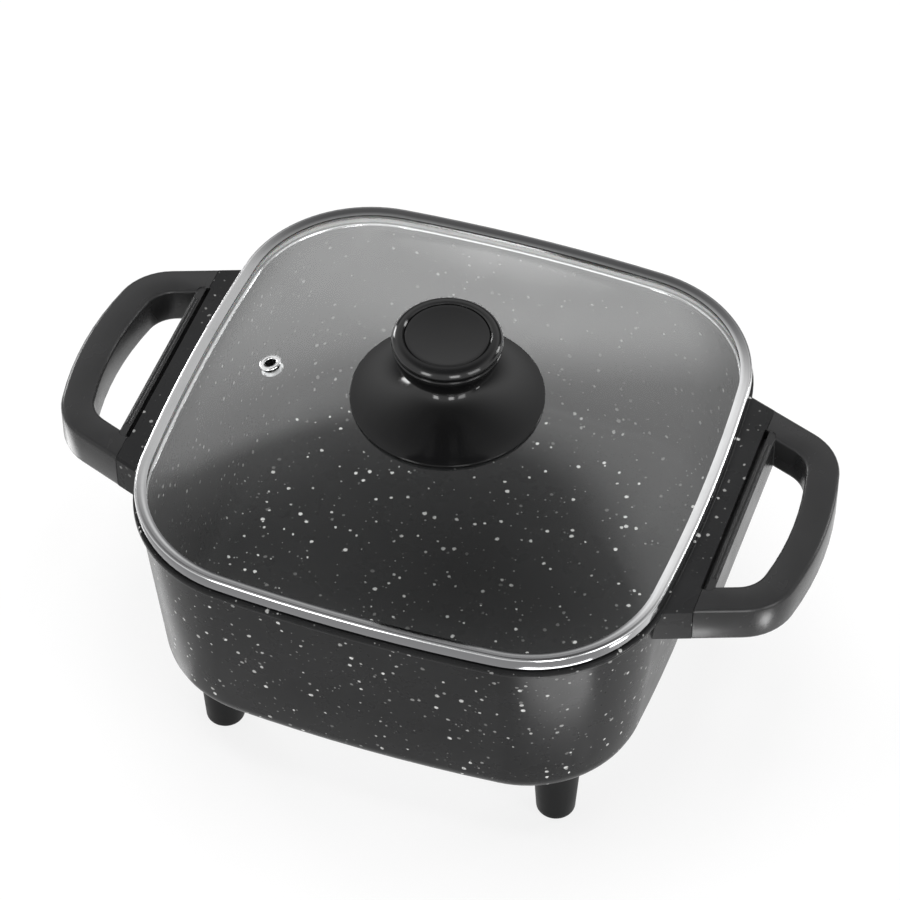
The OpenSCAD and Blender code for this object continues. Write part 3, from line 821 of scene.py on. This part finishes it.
@dataclass(frozen=True)
class Fade:
    """How a lamp's face fades from its foot to its head, in shares of its width and height.

    Attributes:
        sides: Width of the fade at each side.
        foot: Heights between which the glow at the foot ends.
        foot_glow: Strength of that glow.
        lower: Heights between which the lower glow ends.
        lower_glow: Strength of that glow.
        upper: Heights between which the upper glow ends.
        upper_glow: Strength of that glow.
    """

    sides: float = 0.25
    foot: Span = (0.02, 0.2)
    foot_glow: float = 0.5
    lower: Span = (0.24, 0.62)
    lower_glow: float = 0.7
    upper: Span = (0.7, 1.0)
    upper_glow: float = 0.45

    def paint(self, lamp: bpy.types.AreaLight) -> None:
        """Fade a lamp's face.

        Args:
            lamp: The lamp.
        """
        graph = Graph(lamp)
        face = graph.add("ShaderNodeNewGeometry", {}, {}, "Parametric")
        across = graph.add("ShaderNodeSeparateXYZ", {}, {"Vector": face}, "X")
        rows = across.twin("Y")
        middle = graph.ease(across, 0.0, self.sides) * graph.ease(across, 1.0, 1.0 - self.sides)
        foot = graph.ease(rows, *self.foot, (self.foot_glow, 0.0))
        lower = graph.ease(rows, *self.lower, (self.lower_glow, 0.0))
        upper = graph.ease(rows, *self.upper, (self.upper_glow, 0.0))
        graph.close(Output.LAMP, graph.add("ShaderNodeEmission", {}, {
            "Strength": middle * (foot + lower + upper)}))


@dataclass(frozen=True)
class Softbox:
    """A soft studio lamp that faces a point, in metres and watts.

    Attributes:
        stands: Where it stands.
        size: Width and height of its face.
        power: Its power.
        aims: The point that it faces.
        roll: Turn of its face about its axis, in degrees.
        mirrored: Whether gloss shows it.
        lights: Whether it lights matt surfaces.
        fade: How its face fades, if it does.
        only: The pieces that it lights, all if left out.
        spares: The pieces that it does not light.
    """

    name: str
    stands: Point
    size: Span
    power: float
    aims: Point = (0.0, 0.0, 0.1)
    roll: float = 0.0
    mirrored: bool = True
    lights: bool = True
    fade: Fade | None = None
    only: tuple[str, ...] = ()
    spares: tuple[str, ...] = ()

    @classmethod
    def card(cls, name: str, at: Span, size: Span, power: float, roll: float = 0.0) -> "Softbox":
        """Make a card that lies just above the floor, faces up and shows in gloss alone.

        Args:
            name: The card's name.
            at: Where its centre lies.
            size: Its width and length.
            power: Its power.
            roll: Its turn on the floor, in degrees.

        Returns:
            The card.
        """
        lies = (*at, CARD_LIFT)
        above = (*at, CARD_LIFT + 1.0)
        return cls(name, lies, size, power, above, roll, lights=False, spares=GLASS_PANEL)

    def limit(self, hung: bpy.types.Object) -> None:
        """Let the lamp light some pieces alone, or all but the pieces that it spares.

        Args:
            hung: The lamp where it hangs.
        """
        takers = bpy.data.collections.new(self.name + "_takers")
        for name in self.only + self.spares:
            takers.objects.link(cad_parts[name])
        link = Link.ONLY if self.only else Link.ALL_BUT
        for taker in takers.collection_objects:
            taker.light_linking.link_state = link.value
        hung.light_linking.receiver_collection = takers

    def build(self) -> None:
        """Hang the lamp and aim it."""
        lamp = bpy.data.lights.new(self.name, "AREA")
        lamp.shape = "RECTANGLE"
        lamp.size, lamp.size_y = self.size
        lamp.energy = self.power
        hung = bpy.data.objects.new(self.name, lamp)
        bpy.context.scene.collection.objects.link(hung)
        hung.location = self.stands
        away = Vector(self.aims) - Vector(self.stands)
        turned = Quaternion((0.0, 0.0, 1.0), math.radians(self.roll))
        hung.rotation_euler = (away.to_track_quat("-Z", "Y") @ turned).to_euler()
        hung.visible_camera = False
        hung.visible_glossy = self.mirrored
        hung.visible_diffuse = self.lights
        if self.only or self.spares:
            self.limit(hung)
        if self.fade:
            self.fade.paint(lamp)


@dataclass
class Studio:
    """White floor and surroundings, soft lamps and the camera, in metres.

    Attributes:
        eye: Where the camera stands.
        target: The point that it faces.
        lens: Its focal length in millimetres.
        sensor: Width of its sensor in millimetres.
        fill: Strength of the surroundings where they light matt surfaces.
        zenith: Their strength overhead where metal and glass show them.
        zenith_span: Heights of the view between which they fall to that.
        rear_dark: Their strength low down at the rear.
        rear_height: Heights of the view between which the dark rear ends.
        rear_turn: How far the view turns to the rear before it darkens.
        floor_half: Half the floor's width.
        floor_drop: How far the floor lies below the feet.
        floor_colour: Colour of the floor's paint.
        floor_share: Share of white that the floor adds where it is seen.
        lamps: The lamps.
    """

    eye: Point = (0.4196, -1.1889, 1.5189)
    target: Point = (-0.004, 0.01504, 0.11409)
    lens: float = 161.58
    sensor: float = 36.0
    fill: float = 0.35
    zenith: float = 0.22
    zenith_span: Span = (0.5, 0.98)
    rear_dark: float = 0.15
    rear_height: Span = (0.55, 0.3)
    rear_turn: Span = (0.1, 0.5)
    floor_half: float = 6.0
    floor_drop: float = 0.0004
    floor_colour: Colour = (0.9, 0.9, 0.9)
    floor_share: float = 0.84
    lamps: tuple[Softbox, ...] = (
        Softbox("left_softbox", (-1.3, 0.75, 0.5), (0.35, 0.5), 6.5, spares=GLASS_PANEL),
        Softbox("right_softbox", (1.4, -0.55, 0.6), (0.6, 0.8), 6.0, spares=GLASS_PANEL),
        Softbox("top_softbox", (-0.1, 0.0, 1.8), (1.2, 1.0), 30.0, mirrored=False),
        Softbox("rear_panel", (-0.3, 2.2, 1.95), (7.0, 3.6), 142.0, aims=(-0.3, 0.0, 1.95),
                fade=Fade(), only=GLASS_PANEL),
        Softbox("band_panel", (-0.25, -0.42, 1.2), (1.0, 0.5), 1.4, aims=(0.0, 0.1, 0.15),
                only=STEEL_BAND),
        Softbox("right_rear_softbox", (1.3, 1.1, 0.5), (0.35, 0.5), 5.0, spares=GLASS_PANEL),
        Softbox("front_left_window", (-0.55, -1.6, 0.65), (0.5, 0.9), 10.0, aims=(0.0, 0.0, 0.4),
                lights=False, spares=GLASS_PANEL),
        Softbox("front_right_window", (0.9, -1.4, 0.65), (0.5, 0.9), 10.0, aims=(0.0, 0.0, 0.4),
                lights=False, spares=GLASS_PANEL),
        Softbox.card("right_card", (0.14, -0.165), (0.03, 0.12), 0.1, roll=45.0),
        Softbox.card("left_card", (-0.17, -0.067), (0.03, 0.12), 0.014, roll=-57.0),
        Softbox.card("right_handle_card", (0.285, -0.1), (0.05, 0.05), 0.1),
        Softbox.card("left_handle_card", (-0.28, -0.02), (0.07, 0.07), 0.04),
    )

    def surroundings(self) -> None:
        """Make the world white to the camera, a plain room to metal and glass, and else an even fill."""
        world = bpy.data.worlds.new("white_room")
        bpy.context.scene.world = world
        graph = Graph(world)
        view = graph.add("ShaderNodeTexCoord", {}, {}, "Generated")
        up = graph.add("ShaderNodeSeparateXYZ", {}, {"Vector": view}, "Z")
        low_rear = graph.ease(up, *self.rear_height) * graph.ease(up.twin("Y"), *self.rear_turn)
        overhead = graph.ease(up, *self.zenith_span, (1.0, self.zenith))
        room = overhead * (1 - (1 - self.rear_dark) * low_rear)
        camera, mirrored = graph.rays()
        lit = self.fill + mirrored * (room - self.fill)
        graph.close(Output.WORLD, graph.add("ShaderNodeBackground", {}, {
            "Color": WHITE, "Strength": camera.larger(lit)}))

    def floor(self) -> None:
        """Lay the pale floor, which keeps the soft shadow."""
        mesh = bpy.data.meshes.new("floor")
        r = self.floor_half
        z = -self.floor_drop
        mesh.from_pydata([(-r, -r, z), (r, -r, z), (r, r, z), (-r, r, z)], [], [(0, 1, 2, 3)])
        floor = bpy.data.objects.new("floor", mesh)
        bpy.context.scene.collection.objects.link(floor)
        paint = bpy.data.materials.new("floor_paint")
        graph = Graph(paint)
        camera, mirrored = graph.rays()
        matt = graph.add("ShaderNodeBsdfDiffuse", {}, {"Color": self.floor_colour})
        white = graph.add("ShaderNodeEmission", {}, {"Color": WHITE, "Strength": 1.0})
        graph.close(Output.MATERIAL, graph.add("ShaderNodeMixShader", {}, {
            0: self.floor_share * camera.larger(mirrored), 1: matt, 2: white}))
        mesh.materials.append(paint)

    def camera(self) -> None:
        """Set up the camera."""
        lens = bpy.data.cameras.new("camera")
        lens.lens = self.lens
        lens.sensor_width = self.sensor
        camera = bpy.data.objects.new("camera", lens)
        bpy.context.scene.collection.objects.link(camera)
        camera.location = self.eye
        away = Vector(self.target) - Vector(self.eye)
        camera.rotation_euler = away.to_track_quat("-Z", "Y").to_euler()
        bpy.context.scene.camera = camera

    def build(self) -> None:
        """Set the room, the lamps and the camera."""
        bpy.context.scene.view_settings.view_transform = "Standard"
        self.surroundings()
        self.floor()
        for lamp in self.lamps:
            lamp.build()
        self.camera()


def main() -> None:
    """Build the sub-assemblies and the studio in order."""
    logging.basicConfig(level=logging.INFO)
    wardrobe = Wardrobe()
    for assembly in (Pan(), Heater(), Lid(), Knob()):
        assembly.build(wardrobe)
    Studio().build()


if __name__ == "__main__":
    main()
